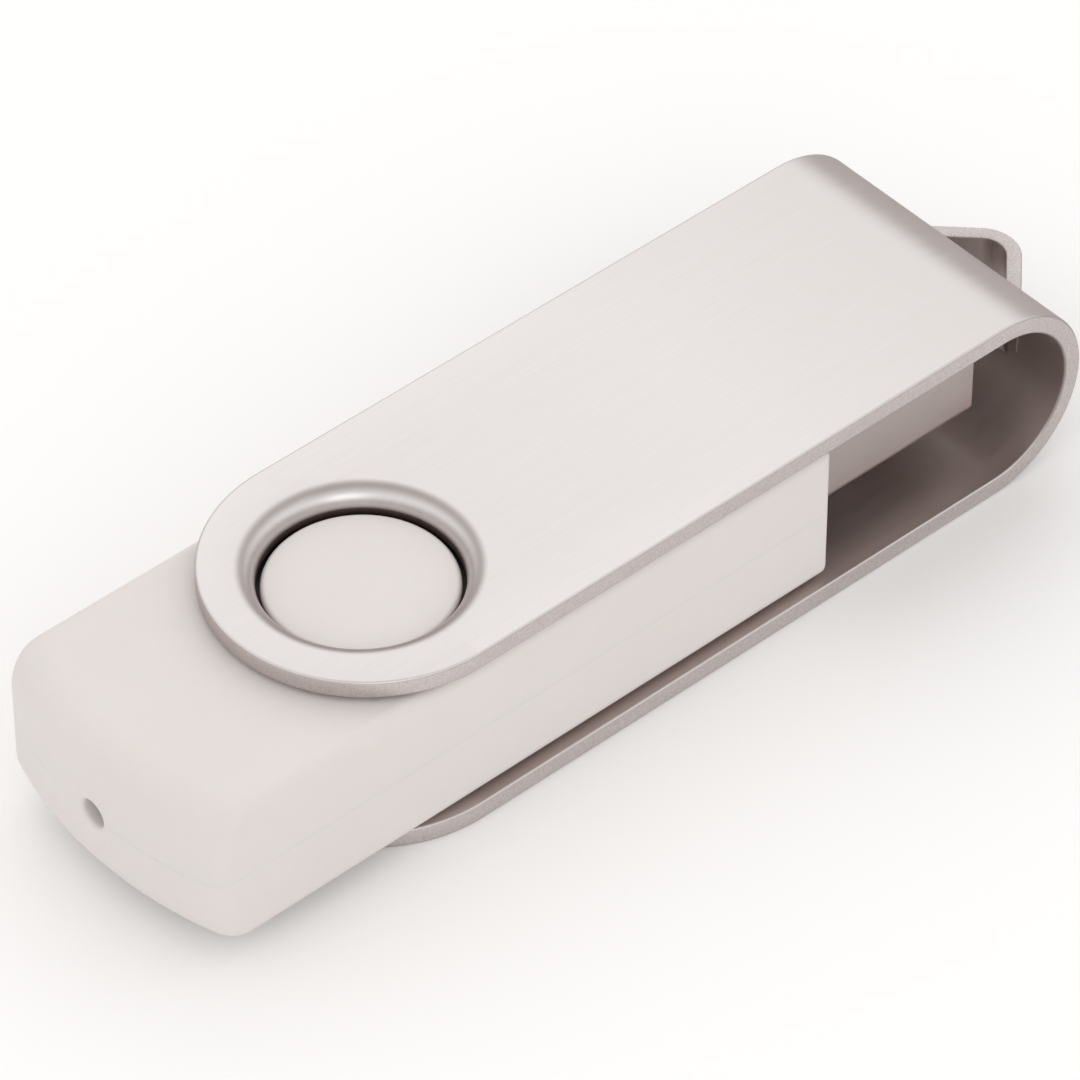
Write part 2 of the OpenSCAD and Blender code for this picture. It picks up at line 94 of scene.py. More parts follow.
# How much painted shade darkens the clip's metal, from 0 to 1, and the angles between which that changes
ARM_INNER_SHADE = 0.0
BEND_INNER_SHADE = 0.40
BEND_SHADE = 0.6
BEND_SHADE_FROM = math.radians(-6)
BEND_SHADE_TO = math.radians(60)
ROLL_SHADE = 0.35
ROLL_RING_SHADE = 0.5
ROLL_RING_AT = math.radians(22)
ROLL_RING_SPREAD = math.radians(15)
LOOP_SHADE = 0.2
LOOP_OUTER_SHADE = 0.3

# A point counts as on a face within this distance of it, as on the loop this far past the bend,
# as part of the hole's roll this far past it, and as facing the loop's inside below this product
ON_FACE = 0.01
PAST_BEND = 0.2
PAST_ROLL = 0.2
INWARD = -0.1

# ---- Case sizes ----

BODY_W = CASE_HI.y - CASE_LO.y
ARM_GAP = 0.25
CASE_Z1 = CLIP_H - STRIP_T - ARM_GAP
TAIL_X = CASE_LO.x
NOSE_X = CASE_HI.x
TAIL_R = 25.0
TAIL_CORNER_R = 1.2
TAIL_EDGE_R = 2.2
NOSE_CORNER_R = 0.4
NOSE_EDGE_R = 0.25
CASE_EDGE_R = 0.8
CAVITY_CORNER_R = 0.2
LEAST_CORNER_R = 0.05
WALL = 1.1
SEAM_R = 0.015
BOSS_R = 5.12
BOSS_EDGE_R = 0.3
BOSS_TOP = CLIP_H - STRIP_T
BOSS_CROWN = 0.05
GROOVE_R = 6.45
GROOVE_DEPTH = 0.55
GROOVE_EDGE_R = 0.1
LIGHT_R = 0.8
LIGHT_FLARE = 0.3
LIP_T = 0.4
LIP_RISE = 1.0
LIP_GAP = 0.05
LIP_LAP = 0.05
LIP_INSET = WALL + LIP_GAP
BOARD_GAP = 0.1
BOARD_INSET = LIP_INSET + LIP_T + BOARD_GAP
LEDGE_L = 3.0
LEDGE_W = 0.5
LEDGE_NOSE_GAP = 6.0
LEDGE_TAIL_GAP = 8.0

# Depths below the boss's top between which painted shade darkens the gap round it
GAP_SHADE_TOP = 0.35
GAP_SHADE_FULL = 0.75

# ---- Plug sizes ----

PLUG_W = 12.0
PLUG_H = 4.5
PLUG_T = 0.3
PLUG_BEND_R = 0.6
PLUG_MOUTH_R = 0.1
PLUG_EDGE_R = 0.03
PLUG_FIT = 0.1
PLUG_FLARE = 0.12
PLUG_DEPTH = 6.0
PLUG_END = PLUG_HI.x
PLUG_ROOT = NOSE_X - PLUG_DEPTH
LEG_L = 2.0
LEG_H = 2.0
LEG_LAP = 0.4
LEG_SINK = 0.005
WINDOW_L = 2.0
WINDOW_W = 2.5
WINDOW_CORNER_R = 0.25
WINDOW_BACK = 6.2
WINDOW_PITCH = 5.0
LOCK_GAP = 0.05
TOOTH_STARTS = (2.4, 8.2)
TOOTH_L = 1.0
TOOTH_W = 0.55
TOOTH_LEAN = 0.35

# How far a cutter reaches past what it cuts
CUT_PAST = 0.5
SKIN_CUT_PAST = 0.1

# ---- Pieces carried over from the CAD: their small round edges ----

LEAD_EDGE_R = 0.02
PART_EDGE_R = 0.05
INSULATOR_EDGE_R = 0.08

# ---- How finely curves are divided ----

TINY_STEPS = 3
SMALL_STEPS = 4
MEDIUM_STEPS = 6
HOLE_STEPS = 144
ROLL_STEPS = 14
END_STEPS = 112
BEND_STEPS = 20
SLIT_STEPS = 4
SLIT_LEAD = 3
LOOP_BEND_STEPS = 12
LOOP_NOSE_STEPS = 10
TAIL_STEPS = 40
TAIL_CORNER_STEPS = 14
NOSE_CORNER_STEPS = 10
SHOULDER_STEPS = 24
BOSS_STEPS = 120
LIGHT_STEPS = 48
PLUG_CORNER_STEPS = 8

# Gaps below which points are welded, and angles above which an edge stays sharp or is rounded
WELD_GAP = 0.0005
NODE_WELD_GAP = 0.001
SHARP_ANGLE = math.radians(32)
PLUG_EDGE_ANGLE = math.radians(50)
NODE_EDGE_ANGLE = math.radians(40)

# ---- Mesh tools ----


def turn(steps, start=0.0, end=90.0):
    """Angles from start to end degrees, in equal steps."""
    return [math.radians(start + (end - start) * i / steps) for i in range(steps + 1)]


def full_turn(steps):
    """Angles all the way round, without repeating the first."""
    return [2 * math.pi * i / steps for i in range(steps)]


def ease(share):
    """A share from 0 to 1 that starts and ends gently."""
    return share * share * (3 - 2 * share)


def ring(mesh, points):
    """New points in a mesh."""
    return [mesh.verts.new(p) for p in points]


def pivot_ring(mesh, r, z, steps):
    """A level circle of points about the pivot."""
    return ring(mesh, [(PIVOT_X + r * math.cos(a), r * math.sin(a), z) for a in full_turn(steps)])


def strip(mesh, a, b):
    """Quads between two rows of points."""
    for i in range(len(a) - 1):
        mesh.faces.new((a[i], a[i + 1], b[i + 1], b[i]))


def band(mesh, a, b):
    """Quads between two closed rings of points."""
    strip(mesh, a + a[:1], b + b[:1])


def skin(mesh, rings):
    """Bands between each ring and the next."""
    for a, b in zip(rings, rings[1:]):
        band(mesh, a, b)


def fill(mesh, *loops):
    """Fills a flat region between closed loops of points, the later ones being holes."""
    edges = []
    for loop in loops:
        for a, b in zip(loop, loop[1:] + loop[:1]):
            edges.append(mesh.edges.get((a, b)) or mesh.edges.new((a, b)))
    bmesh.ops.triangle_fill(mesh, edges=edges, use_beauty=True, use_dissolve=False)


def tidy(mesh):
    """Welds points that coincide and turns every face outwards."""
    bmesh.ops.remove_doubles(mesh, verts=mesh.verts, dist=WELD_GAP)
    bmesh.ops.dissolve_degenerate(mesh, edges=mesh.edges, dist=WELD_GAP / 10)
    bmesh.ops.recalc_face_normals(mesh, faces=mesh.faces)
    return mesh


def capped(mesh, rings):
    """Closes a mesh with bands between the rings and a flat cap at each end."""
    skin(mesh, rings)
    fill(mesh, rings[0])
    fill(mesh, rings[-1])
    return tidy(mesh)


def prism(outline, z0, z1):
    """A closed upright prism over an outline."""
    mesh = bmesh.new()
    return capped(mesh, [ring(mesh, [(x, y, z) for x, y in outline]) for z in (z0, z1)])


def box(x0, x1, y0, y1, z0, z1):
    """A closed block."""
    return prism([(x0, y0), (x1, y0), (x1, y1), (x0, y1)], z0, z1)


def round_rect(w, h, r, steps=MEDIUM_STEPS):
    """Corner points of a rectangle with round corners, centred on the origin."""
    points = []
    for quarter in range(4):
        sy = 1 if quarter in (0, 1) else -1
        sx = 1 if quarter in (0, 3) else -1
        for a in turn(steps, 90 * quarter, 90 * quarter + 90):
            points.append((sx * (w / 2 - r) + r * math.cos(a), sy * (h / 2 - r) + r * math.sin(a)))
    return points


def bar(stations):
    """A closed bar along X through stations of (x, width, height, corner radius), at the middle height."""
    mesh = bmesh.new()
    rings = [
        ring(mesh, [(x, y, MID_Z + z) for y, z in round_rect(w, h, r)]) for x, w, h, r in stations
    ]
    return capped(mesh, rings)


def mirrored(mesh, plane_z):
    """Adds the mirror image of a mesh below a level plane."""
    copy = bmesh.ops.duplicate(mesh, geom=mesh.verts[:] + mesh.edges[:] + mesh.faces[:])["geom"]
    for vert in (part for part in copy if isinstance(part, bmesh.types.BMVert)):
        vert.co.z = 2 * plane_z - vert.co.z
    return tidy(mesh)


def upside_down(mesh):
    """Turns a mesh over about the middle plane."""
    for vert in mesh.verts:
        vert.co.z = CLIP_H - vert.co.z
    return tidy(mesh)


def as_object(mesh, name):
    """Turns a mesh under construction into an object of the scene."""
    data = bpy.data.meshes.new(name)
    mesh.to_mesh(data)
    mesh.free()
    piece = bpy.data.objects.new(name, data)
    bpy.context.scene.collection.objects.link(piece)
    return piece


def combine(base, tool, operation):
    """The union or difference of two closed meshes."""
    pieces = [as_object(base, "base"), as_object(tool, "tool")]
    cut = pieces[0].modifiers.new("combine", "BOOLEAN")
    cut.object = pieces[1]
    cut.operation = operation
    cut.solver = "EXACT"
    graph = bpy.context.evaluated_depsgraph_get()
    result = bmesh.new()
    result.from_mesh(pieces[0].evaluated_get(graph).to_mesh())
    for piece in pieces:
        data = piece.data
        bpy.data.objects.remove(piece)
        bpy.data.meshes.remove(data)
    return result


def join(base, *tools):
    """A mesh with others added to it."""
    for tool in tools:
        base = combine(base, tool, "UNION")
    return base


def carve(base, *tools):
    """A mesh with others cut out of it."""
    for tool in tools:
        base = combine(base, tool, "DIFFERENCE")
    return base


def finish_piece(mesh, name, body, nodes):
    """Makes a Blender piece in metres that stands for CAD nodes and rides on their body."""
    tidy(mesh)
    piece = as_object(mesh, name)
    piece.data.transform(Matrix.Scale(1 / MM, 4))
    for polygon in piece.data.polygons:
        polygon.use_smooth = True
    piece.data.set_sharp_from_angle(angle=SHARP_ANGLE)
    shading = piece.modifiers.new("shading", "WEIGHTED_NORMAL")
    shading.keep_sharp = True
    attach(piece, body)
    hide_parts(*nodes)
    return piece


def store(piece, name, values, kind="FLOAT", field="value"):
    """Keeps a value for each point of a piece, which its material reads."""
    piece.data.attributes.new(name, kind, "POINT").data.foreach_set(field, values)


# ---- Clip ----


def fold(angle, y, depth):
    """A point of the bend, at an angle from the bend's top and a depth below its outer skin."""
    r = MID_Z - depth
    return (BEND_X + r * math.sin(angle), y, MID_Z + r * math.cos(angle))


def bend_stations():
    """Angles of the bend's rows at the outer and at the inner skin, and the number of the slit's row."""
    half_slit = LOOP_W / 2 + SLIT_GAP
    slit = (math.acos(half_slit / MID_Z), math.acos(half_slit / (MID_Z - STRIP_T)))
    rows = [(a, a) for a in turn(BEND_STEPS, 0, math.degrees(slit[1]) - SLIT_LEAD)]
    slit_row = len(rows)
    for i in range(SLIT_STEPS + 1):
        rows.append(tuple(a + (math.pi / 2 - a) * i / SLIT_STEPS for a in slit))
    return rows, slit_row


def loop_path():
    """Half of the loop's centre line as (x, y, direction, thickness, share of the bend's curve kept)."""
    wall_x = CLIP_REACH - STRIP_T / 2
    nose_x = CLIP_HI.x - LOOP_NOSE_R
    nose_r = LOOP_NOSE_R - LOOP_T / 2
    slant = math.radians(LOOP_SLANT)
    corner_y = nose_r / math.cos(slant) + (nose_x - wall_x) * math.tan(slant)
    root_y = corner_y + LOOP_BEND_R * math.tan(slant / 2)
    root_t = STRIP_T - LOOP_ROOT_SINK
    path = [(wall_x, -root_y - LOOP_ROOT_L, 0.0, root_t, 1.0)]
    for i, a in enumerate(turn(LOOP_BEND_STEPS, 0, LOOP_SLANT)):
        share = ease(i / LOOP_BEND_STEPS)
        x = wall_x + LOOP_BEND_R * (1 - math.cos(a))
        y = -root_y + LOOP_BEND_R * math.sin(a)
        path.append((x, y, a, root_t + (LOOP_T - root_t) * share, 1 - share))
    for a in turn(LOOP_NOSE_STEPS, LOOP_SLANT, 0):
        path.append((nose_x + nose_r * math.cos(a), -nose_r * math.sin(a), a, LOOP_T, 0.0))
    return path, root_y


def loop_band():
    """The band that is pushed out of the bend, with its two roots inside the wall."""
    half = loop_path()[0]
    back = [(x, -y, -a, t, keep) for x, y, a, t, keep in reversed(half[:-1])]
    mesh = bmesh.new()
    rings = []
    for x, y, a, thickness, keep in half + back:
        points = []
        for across, z in round_rect(thickness, LOOP_W, LOOP_EDGE_R, TINY_STEPS):
            sag = keep * (MID_Z - math.sqrt(MID_Z ** 2 - z ** 2))
            points.append((x + across * math.cos(a) - sag, y - across * math.sin(a), MID_Z + z))
        rings.append(ring(mesh, points))
    return capped(mesh, rings)


def edge_profile():
    """(inset, depth) round the strip's cut edge, from the outer face to the inner one."""
    outer = [
        (STRIP_EDGE_R * (1 - math.sin(a)), STRIP_EDGE_R * (1 - math.cos(a))) for a in turn(SMALL_STEPS)
    ]
    inner = [(inset, STRIP_T - depth) for inset, depth in reversed(outer)]
    return outer + inner


def rim_profile():
    """(radius, depth) of the pivot hole: the outer face rolls in, and a drawn rim stands inside."""
    low = STRIP_T + RIM_DROP
    outer_r = HOLE_R + RIM_T
    roll = [
        (HOLE_R + STRIP_T * (1 - math.sin(a)), STRIP_T * (1 - math.cos(a))) for a in turn(ROLL_STEPS)
    ]
    lip = []
    heel = []
    foot = []
    for a in turn(TINY_STEPS):
        early = RIM_EDGE_R * (1 - math.cos(a))
        late = RIM_EDGE_R * (1 - math.sin(a))
        lip.append((HOLE_R + early, low - late))
        heel.append((outer_r - late, low - early))
        foot.append((outer_r + early, STRIP_T + late))
    return roll + lip + heel + foot


def half_clip():
    """The upper arm and the upper half of the bend, open at the middle plane."""
    mesh = bmesh.new()
    rows, slit_row = bend_stations()
    profile = edge_profile()
    half_w = CLIP_W / 2
    root_y = loop_path()[1]

    # The cut edge, from the bend's middle along one side, round the end and back
    def bend_edge(row, side):
        points = []
        for inset, depth in profile:
            angle = row[0] + (row[1] - row[0]) * depth / STRIP_T
            points.append(fold(angle, side * (half_w - inset), depth))
        return ring(mesh, points)

    near = [bend_edge(row, -1) for row in rows]
    far = [bend_edge(row, 1) for row in rows]
    end = []
    for a in turn(END_STEPS, 270, 90):
        points = []
        for inset, depth in profile:
            r = half_w - inset
            points.append((END_X + r * math.cos(a), r * math.sin(a), CLIP_H - depth))
        end.append(ring(mesh, points))
    outline = near[::-1] + end + far
    for a, b in zip(outline, outline[1:]):
        strip(mesh, a, b)

    # The hole's rolled rim
    rims = [pivot_ring(mesh, r, CLIP_H - depth, HOLE_STEPS) for r, depth in rim_profile()]
    skin(mesh, rims)

    # Outer and inner skins: flat arm, then the bend with its slit
    slit_columns = []
    for level, depth, rim in ((0, 0.0, rims[0]), (-1, STRIP_T, rims[-1])):
        columns = [ring(mesh, [fold(row[level], y, depth) for y in (-root_y, root_y)]) for row in rows]
        flat = [near[0][level]] + [points[level] for points in end] + [far[0][level]]
        fill(mesh, flat + columns[0][::-1], rim)
        lines = [
            [left[level], *middle, right[level]] for left, middle, right in zip(near, columns, far)
        ]
        for j, (a, b) in enumerate(zip(lines, lines[1:])):
            strip(mesh, a[:2], b[:2])
            if j < slit_row:
                strip(mesh, a[1:3], b[1:3])
            strip(mesh, a[2:], b[2:])
        slit_columns.append(columns[slit_row:])

    # The slit's walls
    outer, inner = slit_columns
    strip(mesh, outer[0], inner[0])
    for i in range(2):
        strip(mesh, [row[i] for row in outer], [row[i] for row in inner])
    return mesh


def strip_place(x, z):
    """Distance along the strip of a point beside it, counted from the start of the bend."""
    if x > BEND_X:
        return MID_Z * math.atan2(x - BEND_X, z - MID_Z)
    if z > MID_Z:
        return x - BEND_X
    return MID_Z * math.pi + BEND_X - x


def bend_angle(x, z):
    """How far the strip has turned beside a point: none on the upper arm, half a turn on the lower."""
    return min(max(strip_place(x, z) / MID_Z, 0.0), math.pi)


def depth_in_strip(x, z):
    """Depth of a point below the strip's outer skin."""
    return MID_Z - math.hypot(max(x - BEND_X, 0.0), z - MID_Z)


def on_loop(x):
    """Whether a point belongs to the loop rather than to the strip."""
    return x > CLIP_REACH + PAST_BEND


def inside_loop(x, y, outward):
    """Whether a point of the loop faces its inside."""
    nose = Vector((CLIP_HI.x - LOOP_NOSE_R, 0, 0))
    return outward.dot(Vector((x, y, 0)) - nose) < INWARD


def inner_face(x, y, z, outward):
    """1 for a point on the inside of the folded strip or of the loop, otherwise 0."""
    if on_loop(x):
        return 1.0 if inside_loop(x, y, outward) else 0.0
    past_roll = math.hypot(x - PIVOT_X, y) > ROLL_R
    return 1.0 if past_roll and depth_in_strip(x, z) > STRIP_T - ON_FACE else 0.0


def cut_share(x, y, z, outward):
    """1 for a point on the strip's cut edge, 0 on its faces and round the pivot hole."""
    if math.hypot(x - PIVOT_X, y) < ROLL_R + PAST_ROLL:
        return 0.0
    if on_loop(x):
        return abs(outward.z)
    angle = bend_angle(x, z)
    sheet = Vector((math.sin(angle), 0, math.cos(angle)))
    return 1 - abs(outward.dot(sheet))


def roll_shade(depth):
    """Painted shade on the hole's roll: a ring near the plate, then more and more towards the hole."""
    if depth > STRIP_T - ON_FACE:
        return 1.0
    turned = math.acos(min(1 - depth / STRIP_T, 1.0))
    ring_share = math.exp(-((turned - ROLL_RING_AT) / ROLL_RING_SPREAD) ** 2)
    return ROLL_RING_SHADE * ring_share + ROLL_SHADE * (turned / (math.pi / 2)) ** 4


def inner_shade(x, angle):
    """Painted shade on the strip's inner face, which fades along the lower half of the bend."""
    if angle < math.pi / 2:
        return BEND_INNER_SHADE if x > BEND_X else ARM_INNER_SHADE
    return ARM_INNER_SHADE + (BEND_INNER_SHADE - ARM_INNER_SHADE) * math.sin(angle) ** 2


def bend_shade(angle):
    """Painted shade on the bend's outer skin, which grows from each arm towards the middle of the bend."""
    tilt = min(angle, math.pi - angle)
    share = (tilt - BEND_SHADE_FROM) / (BEND_SHADE_TO - BEND_SHADE_FROM)
    return BEND_SHADE * ease(min(max(share, 0.0), 1.0))


def clip_shade(x, y, z, outward):
    """How much painted shade darkens a point of the clip, from 0 to 1."""
    if on_loop(x):
        return LOOP_SHADE if inside_loop(x, y, outward) else LOOP_OUTER_SHADE
    depth = depth_in_strip(x, z)
    if math.hypot(x - PIVOT_X, y) < ROLL_R + ON_FACE:
        return roll_shade(depth)
    angle = bend_angle(x, z)
    return inner_shade(x, angle) if depth > STRIP_T - ON_FACE else bend_shade(angle)


def store_brushing(piece):
    """Keeps each point's place on the strip, its share of cut edge, its face and its painted shade."""
    places = []
    cuts = []
    faces = []
    shades = []
    for vert in piece.data.vertices:
        x, y, z = vert.co * MM
        places += (strip_place(x, z) / MM, y / MM, 0.0)
        cuts.append(cut_share(x, y, z, vert.normal))
        faces.append(inner_face(x, y, z, vert.normal))
        shades.append(clip_shade(x, y, z, vert.normal))
    store(piece, "strip", places, "FLOAT_VECTOR", "vector")
    store(piece, "cut_edge", cuts)
    store(piece, "inner_face", faces)
    store(piece, "painted_shade", shades)


def swivel_clip():
    """The folded strip with its two pivot holes and its keyring loop."""
    clip = mirrored(half_clip(), MID_Z)
    clip = join(clip, loop_band())
    piece = finish_piece(clip, "brushed_clip", "clip", ["swivel_clip"])
    store_brushing(piece)
    return piece


# ---- Case ----


def outline_points(half, big_r, corner, nose_end, nose_c):
    """Points round the case seen from above: bowed tail, round corners, flat nose."""
    centre = TAIL_X + TAIL_R
    corner_y = half - corner
    corner_x = centre - math.sqrt((big_r - corner) ** 2 - corner_y ** 2)
    bow = math.degrees(math.asin(corner_y / (big_r - corner)))
    nose_x = nose_end - nose_c
    points = []
    for a in turn(TAIL_STEPS, 180 - bow, 180 + bow):
        points.append((centre + big_r * math.cos(a), big_r * math.sin(a)))
    for a in turn(TAIL_CORNER_STEPS, 180 + bow, 270)[1:]:
        points.append((corner_x + corner * math.cos(a), corner * math.sin(a) - corner_y))
    for a in turn(NOSE_CORNER_STEPS, 270, 360):
        points.append((nose_x + nose_c * math.cos(a), nose_c * math.sin(a) - half + nose_c))
    for a in turn(NOSE_CORNER_STEPS, 0, 90):
        points.append((nose_x + nose_c * math.cos(a), nose_c * math.sin(a) + half - nose_c))
    for a in turn(TAIL_CORNER_STEPS, 90, 180 - bow)[:-1]:
        points.append((corner_x + corner * math.cos(a), corner * math.sin(a) + corner_y))
    return points


def case_ring(mesh, inset, z, least=LEAST_CORNER_R):
    """The case's outline shrunk evenly by an inset, with corners no tighter than the least."""
    points = outline_points(
        BODY_W / 2 - inset,
        TAIL_R - inset,
        max(TAIL_CORNER_R - inset, least),
        NOSE_X - inset,
        max(NOSE_CORNER_R - inset, least),
    )
    return ring(mesh, [(x, y, z) for x, y in points])


def rounding(radius, z):
    """How far an edge of this rounding has drawn in at height z, near the case's top."""
    rise = max(z - CASE_Z1 + radius, 0.0)
    return radius - math.sqrt(max(radius ** 2 - rise ** 2, 0.0))


def shoulder_ring(mesh, z):
    """The case's outline where its sides, tail and nose round over into the top, each in its own measure."""
    points = outline_points(
        BODY_W / 2 - rounding(CASE_EDGE_R, z),
        TAIL_R - rounding(TAIL_EDGE_R, z),
        TAIL_CORNER_R,
        NOSE_X - rounding(NOSE_EDGE_R, z),
        NOSE_CORNER_R,
    )
    return ring(mesh, [(x, y, z) for x, y in points])


def boss_profile():
    """(radius, height) from the case's top into the groove, up the boss and over its slight crown."""
    floor = CASE_Z1 - GROOVE_DEPTH
    rim = BOSS_TOP - BOSS_CROWN
    inner_r = BOSS_R - BOSS_EDGE_R
    mouth = [
        (GROOVE_R + GROOVE_EDGE_R * (1 - math.sin(a)), CASE_Z1 - GROOVE_EDGE_R * (1 - math.cos(a)))
        for a in turn(TINY_STEPS)
    ]
    # Rings at the depths where the gap's painted shade starts and where it is full
    shaded = [(BOSS_R, BOSS_TOP - depth) for depth in (GAP_SHADE_FULL, GAP_SHADE_TOP + ON_FACE)]
    side = [
        (BOSS_R - BOSS_EDGE_R * (1 - math.cos(a)), rim - BOSS_EDGE_R * (1 - math.sin(a)))
        for a in turn(MEDIUM_STEPS)
    ]
    crown = [
        (inner_r * s, BOSS_TOP - BOSS_CROWN * s ** 2) for s in (0.85, 0.7, 0.55, 0.4, 0.25, 0.1)
    ]
    return mouth + [(GROOVE_R, floor), (BOSS_R, floor)] + shaded + side + crown


def shell_half():
    """The upper half of the case as a closed shell with its boss, without openings."""
    mesh = bmesh.new()
    seam = [
        case_ring(mesh, SEAM_R * (1 - math.cos(a)), MID_Z + SEAM_R * (1 - math.sin(a)))
        for a in turn(TINY_STEPS, 90, 0)
    ]
    shoulder = [
        shoulder_ring(mesh, CASE_Z1 - TAIL_EDGE_R * (1 - math.sin(a))) for a in turn(SHOULDER_STEPS)
    ]
    outside = seam + shoulder
    skin(mesh, outside)
    bosses = [pivot_ring(mesh, r, z, BOSS_STEPS) for r, z in boss_profile()]
    fill(mesh, outside[-1], bosses[0])
    skin(mesh, bosses)
    fill(mesh, bosses[-1])
    cavity_foot = case_ring(mesh, WALL, MID_Z, CAVITY_CORNER_R)
    cavity_top = case_ring(mesh, WALL, CASE_Z1 - WALL, CAVITY_CORNER_R)
    band(mesh, outside[0], cavity_foot)
    band(mesh, cavity_foot, cavity_top)
    fill(mesh, cavity_top)
    return tidy(mesh)


def wall_band(outer, inner, z0, z1):
    """A band of wall between two insets of the case's outline."""
    mesh = bmesh.new()
    section = ((outer, z0), (outer, z1), (inner, z1), (inner, z0))
    rings = [case_ring(mesh, inset, z, CAVITY_CORNER_R) for inset, z in section]
    skin(mesh, rings + rings[:1])
    return tidy(mesh)


def ledges(z0, z1, outer_inset):
    """Four blocks along the inside of the case, two on each side, that hold the board."""
    inner_inset = BOARD_INSET + LEDGE_W
    blocks = []
    for x in (PLUG_ROOT - LEDGE_NOSE_GAP, BOARD_LO.x + LEDGE_TAIL_GAP):
        for side in (-1, 1):
            ys = sorted([side * (BODY_W / 2 - outer_inset), side * (BODY_W / 2 - inner_inset)])
            blocks.append(box(x, x + LEDGE_L, *ys, z0, z1))
    return blocks


def plug_opening():
    """The opening for the plug, with a small round at the case's face."""
    w = PLUG_W + 2 * PLUG_FIT
    h = PLUG_H + 2 * PLUG_FIT
    stations = [(PLUG_ROOT - LEG_L - PLUG_FIT, w, h, PLUG_BEND_R)]
    for a in turn(SMALL_STEPS):
        x = NOSE_X - PLUG_FLARE * (1 - math.sin(a))
        out = PLUG_FLARE * (1 - math.cos(a))
        stations.append((x, w + 2 * out, h + 2 * out, PLUG_BEND_R + out))
    stations.append((NOSE_X + CUT_PAST, w + 2 * PLUG_FLARE, h + 2 * PLUG_FLARE, PLUG_BEND_R + PLUG_FLARE))
    return bar(stations)


def light_opening():
    """The round hole at the middle of the tail, with a soft rim."""
    mesh = bmesh.new()
    stations = [(BOARD_LO.x, LIGHT_R)]
    for a in turn(MEDIUM_STEPS):
        x = TAIL_X + LIGHT_FLARE * (1 - math.sin(a))
        stations.append((x, LIGHT_R + LIGHT_FLARE * (1 - math.cos(a))))
    stations.append((TAIL_X - CUT_PAST, LIGHT_R + LIGHT_FLARE))
    rings = []
    for x, r in stations:
        circle = [(x, r * math.cos(a), MID_Z + r * math.sin(a)) for a in full_turn(LIGHT_STEPS)]
        rings.append(ring(mesh, circle))
    return capped(mesh, rings)


def store_gap(piece):
    """Keeps how deep each point lies in the gap round a boss, from 0 to 1, for the painted shade there."""
    shades = []
    for vert in piece.data.vertices:
        x, y, z = vert.co * MM
        depth = BOSS_TOP - max(z, CLIP_H - z)
        deep = (depth - GAP_SHADE_TOP) / (GAP_SHADE_FULL - GAP_SHADE_TOP)
        near = math.hypot(x - PIVOT_X, y) < GROOVE_R + ON_FACE
        shades.append(min(max(deep, 0.0), 1.0) if near else 0.0)
    store(piece, "gap_shade", shades)
    return piece


def upper_case():
    """The upper half shell, with ledges that press the board down."""
    shell = join(shell_half(), *ledges(BOARD_HI.z, CASE_Z1 - WALL / 2, BOARD_INSET))
    shell = carve(shell, plug_opening(), light_opening())
    piece = finish_piece(shell, "upper_case_moulding", "drive_body", ["upper_case"])
    return store_gap(piece)


def lower_case():
    """The lower half shell, with the locating lip and the ledges that the board lies on."""
    lip_foot = MID_Z - LIP_RISE
    shell = join(
        upside_down(shell_half()),
        wall_band(WALL / 2, LIP_INSET + LIP_T / 2, lip_foot, MID_Z - SEAM_R),
        wall_band(LIP_INSET, LIP_INSET + LIP_T, lip_foot + LIP_LAP, MID_Z + LIP_RISE),
        *ledges(CLIP_H - CASE_Z1 + WALL / 2, BOARD_LO.z, WALL / 2),
    )
    shell = carve(shell, plug_opening(), light_opening())
    piece = finish_piece(shell, "lower_case_moulding", "drive_body", ["lower_case"])
    return store_gap(piece)


# ---- Plug ----


def dovetail_seam():
    """A thin zigzag cut through the plug's underside, where the rolled sheet's edges lock together."""
    middle = [(PLUG_ROOT - CUT_PAST, 0.0)]
    for start in TOOTH_STARTS:
        x0 = NOSE_X + start
        x1 = x0 + TOOTH_L
        middle += [(x0, 0.0), (x0 - TOOTH_LEAN, TOOTH_W), (x1 + TOOTH_LEAN, TOOTH_W), (x1, 0.0)]
    middle.append((PLUG_END + CUT_PAST, 0.0))
    side_a = []
    side_b = []
    for i, (x, y) in enumerate(middle):
        before = Vector(middle[max(i - 1, 0)])
        after = Vector(middle[min(i + 1, len(middle) - 1)])
        here = Vector((x, y))
        d0 = (here - before).normalized() if i else (after - here).normalized()
        d1 = (after - here).normalized() if i < len(middle) - 1 else d0
        n0 = Vector((-d0.y, d0.x))
        n1 = Vector((-d1.y, d1.x))
        mitre = (n0 + n1) / (1 + n0.dot(n1)) * LOCK_GAP / 2
        side_a.append(here + mitre)
        side_b.append(here - mitre)
    return prism(side_a + side_b[::-1], PLUG_LO.z - SKIN_CUT_PAST, PLUG_LO.z + PLUG_T + SKIN_CUT_PAST)


def window_cutter(y):
    """A latch window through the top and bottom of the plug, with round corners."""
    x = PLUG_END - WINDOW_BACK
    corners = round_rect(WINDOW_L, WINDOW_W, WINDOW_CORNER_R, SMALL_STEPS)
    return prism([(x + a, y + b) for a, b in corners], PLUG_LO.z - CUT_PAST, PLUG_HI.z + CUT_PAST)


